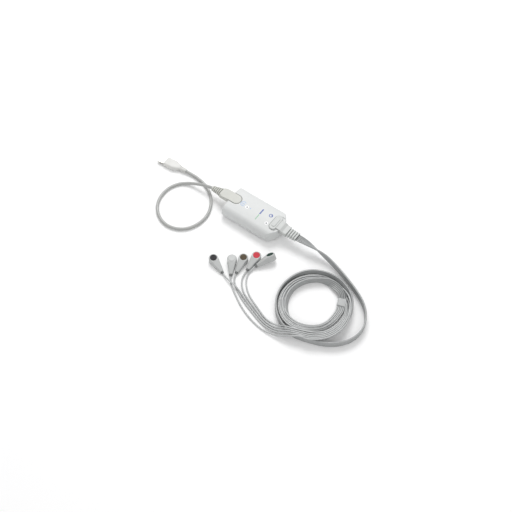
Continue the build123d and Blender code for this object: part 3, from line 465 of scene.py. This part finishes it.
MATERIALS = {
    "case_plastic": dict(colour=(0.63, 0.642, 0.638), roughness=0.45, grain=0.5, contrast=0.015,
                         specular=0.35),
    "screw_steel": dict(colour=(0.55, 0.56, 0.57), roughness=0.3, metallic=1.0, grain=0.2),
    "foot_rubber": dict(colour=(0.03, 0.03, 0.032), roughness=0.8, grain=0.3, depth=0.05),
    "board_green": dict(colour=(0.01, 0.12, 0.045), roughness=0.35, grain=0.8, contrast=0.12),
    "shield_steel": dict(colour=(0.6, 0.6, 0.58), roughness=0.32, metallic=1.0, blotch=3),
    "chip_black": dict(colour=(0.015, 0.015, 0.017), roughness=0.55, grain=0.15),
    "converter_black": dict(colour=(0.02, 0.02, 0.022), roughness=0.5, grain=0.25),
    "capacitor_can": dict(colour=(0.6, 0.61, 0.62), roughness=0.28, metallic=1.0, grain=0.2),
    "resistor_blue": dict(colour=(0.06, 0.13, 0.34), roughness=0.3, coat=0.4),
    "led_white": dict(colour=(0.8, 0.8, 0.7), roughness=0.25, coat=0.5),
    "light_pipe": dict(colour=(0.02, 0.035, 0.07), roughness=0.2, coat=0.6, contrast=0.2),
    "nickel": dict(colour=(0.66, 0.65, 0.62), roughness=0.24, metallic=1.0, grain=0.12,
                   depth=0.004, blotch=4),
    "insulator_black": dict(colour=(0.02, 0.02, 0.022), roughness=0.5, grain=0.2),
    "insulator_white": dict(colour=(0.75, 0.75, 0.72), roughness=0.45, grain=0.2),
    "contact_gold": dict(colour=(0.83, 0.6, 0.22), roughness=0.25, metallic=1.0, grain=0.1),
    "usb_grey": dict(colour=(0.54, 0.545, 0.51), roughness=0.5, grain=0.3, contrast=0.025),
    "usb_cord_grey": dict(colour=(0.37, 0.375, 0.365), roughness=0.36, grain=0.4, contrast=0.03,
                          specular=0.8),
    "usb_plug_grey": dict(colour=(0.66, 0.66, 0.64), roughness=0.48, grain=0.3, contrast=0.03),
    "patient_grey": dict(colour=(0.545, 0.56, 0.55), roughness=0.5, grain=0.3, contrast=0.03),
    "ribbon_grey": dict(colour=(0.33, 0.34, 0.34), roughness=0.34, grain=0.3, contrast=0.05,
                        specular=1.0),
    "lead_grey": dict(colour=(0.43, 0.44, 0.44), roughness=0.3, grain=0.25, contrast=0.05,
                      specular=1.0),
    "snap_grey": dict(colour=(0.45, 0.46, 0.455), roughness=0.42, grain=0.25, contrast=0.05,
                      specular=0.7),
    "collar_grey": dict(colour=(0.16, 0.165, 0.165), roughness=0.5, grain=0.2, contrast=0.1),
    "cap_black": dict(colour=(0.026, 0.026, 0.028), roughness=0.55,
                      specular=0.2, grain=0.2, contrast=0.3),
    "cap_white": dict(colour=(0.48, 0.49, 0.485), roughness=0.42, grain=0.2),
    "cap_brown": dict(colour=(0.075, 0.055, 0.032), roughness=0.55,
                      specular=0.2, grain=0.2, contrast=0.2),
    "cap_red": dict(colour=(0.52, 0.016, 0.035), roughness=0.5,
                    specular=0.3, grain=0.2, contrast=0.1),
    "cap_green": dict(colour=(0.006, 0.036, 0.024), roughness=0.5,
                      specular=0.3, grain=0.2, contrast=0.2),
}


def paint(piece, material):
    piece.data.materials.clear()
    piece.data.materials.append(material)


def paint_nodes(made):
    for part in frame["record"]["subparts"]:
        paint(nodes[part["node"]], made[part["material_slot"]])


# ---- printed marks on the top shell ------------------------------------------------------
CROWN_TOP = 22.5
CROWN_RADIUS = 136.7         # of the top shell's crown, seen along the module
PRINT_LIFT = 0.05            # of the ink's top over the crown, and of its underside below it
LAMP_PLACES = ((-15.5, -2.5), (24.0, -9.0))
LAMP_RING = (1.25, 2.6)      # inner and outer radius
LINE_X = 6.7
DASHES, DASH_STEP = 6, 1.75
GREEN_DASH = (-12.8, -11.5, 0.75)      # first dash: low end, high end, half width
BLUE_DASH = (-1.6, -0.25, 1.15)
PORT_RING = (22, 5.7, 2.1, 3.1)        # place, inner and outer radius
PORT_DOT = (23.2, 6.2, 0.05, 0.9)
ICON_RING = (-23.5, -0.7, 3.6, 4.3, 40, 320)      # the last two: its first and last angle
ICON_BARS = ((-23.5, -2.6, 1.2, 0.35), (-21.6, -1.8, 0.4, 0.35), (-25.4, -1.8, 0.4, 0.35))
LAMP_MARK = (-9.8, -2.8, -0.8, 0.5)    # x, low end, high end, half width
PRINT_BLUE = dict(colour=(0.025, 0.075, 0.33), roughness=0.5, grain=0.2, contrast=0.1)
PRINT_PALE = dict(colour=(0.27, 0.42, 0.68), roughness=0.5, grain=0.2, contrast=0.06)
PRINT_GREEN = dict(colour=(0.20, 0.46, 0.27), roughness=0.5, grain=0.2, contrast=0.08)
PRINT_WHITE = dict(colour=(0.9, 0.9, 0.9), roughness=0.45, grain=0.2, contrast=0.02)


def on_crown(x, y, lift):
    z = CROWN_TOP - CROWN_RADIUS + math.sqrt(CROWN_RADIUS ** 2 - y ** 2) + lift
    return Vector((x, y, z)) * MM


def printed_strips(name, strips, material):
    """Closed thin strips of ink: each is a list of (left point, right point) pairs in plan."""
    vertices, faces = [], []
    for pairs in strips:
        first = len(vertices)
        for left, right in pairs:
            vertices += [on_crown(*left, PRINT_LIFT), on_crown(*right, PRINT_LIFT),
                         on_crown(*right, -PRINT_LIFT), on_crown(*left, -PRINT_LIFT)]
        for i in range(len(pairs) - 1):
            low, high = first + 4 * i, first + 4 * (i + 1)
            faces += [(low + k, low + (k + 1) % 4, high + (k + 1) % 4, high + k) for k in range(4)]
        last = first + 4 * (len(pairs) - 1)
        faces += [(first + 3, first + 2, first + 1, first), (last, last + 1, last + 2, last + 3)]
    piece = mesh_piece(name, vertices, faces, smooth_faces=False)
    paint(piece, material)
    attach(piece, "recorder")


def ring_strip(x, y, inner, outer, start=0.0, end=360.0, count=28):
    pairs = []
    for i in range(count + 1):
        angle = math.radians(start + (end - start) * i / count)
        along = (math.cos(angle), math.sin(angle))
        pairs.append(((x + inner * along[0], y + inner * along[1]),
                      (x + outer * along[0], y + outer * along[1])))
    return pairs


def bar(x, low, high, half):
    return [((x - half, low + (high - low) * i / 3), (x + half, low + (high - low) * i / 3))
            for i in range(4)]


def dashed_line(low, high, half):
    return [bar(LINE_X, low + DASH_STEP * i, high + DASH_STEP * i, half) for i in range(DASHES)]


def make_prints():
    blue = moulded("print_blue", **PRINT_BLUE)
    pale = moulded("print_pale", **PRINT_PALE)
    green = moulded("print_green", **PRINT_GREEN)
    white = moulded("print_white", **PRINT_WHITE)
    port = [ring_strip(*PORT_RING), ring_strip(*PORT_DOT)]
    printed_strips("print_port_ring", port, blue)
    lamps = [ring_strip(x, y, *LAMP_RING) for x, y in LAMP_PLACES]
    printed_strips("print_lamp_rings", lamps, white)
    printed_strips("print_line_green", dashed_line(*GREEN_DASH), green)
    printed_strips("print_line_blue", dashed_line(*BLUE_DASH), blue)
    icon = [ring_strip(*ICON_RING), *(bar(*place) for place in ICON_BARS)]
    printed_strips("print_port_icon", icon, pale)
    printed_strips("print_lamp_mark", [bar(*LAMP_MARK)], pale)


# ---- build -------------------------------------------------------------------------------
make_camera()
usb_curve, ribbon_mesh, lead_curves = make_cords()
make_floor()
make_light()
surfaces = {name: moulded(name, **settings) for name, settings in MATERIALS.items()}
paint_nodes(surfaces)
paint(nodes["lead_yoke"], surfaces["ribbon_grey"])    # the ribbon's colour, not its own slot's
paint(usb_curve, surfaces["usb_cord_grey"])
paint(ribbon_mesh, surfaces["ribbon_grey"])
for lead_curve in lead_curves.values():
    paint(lead_curve, surfaces["lead_grey"])
make_prints()
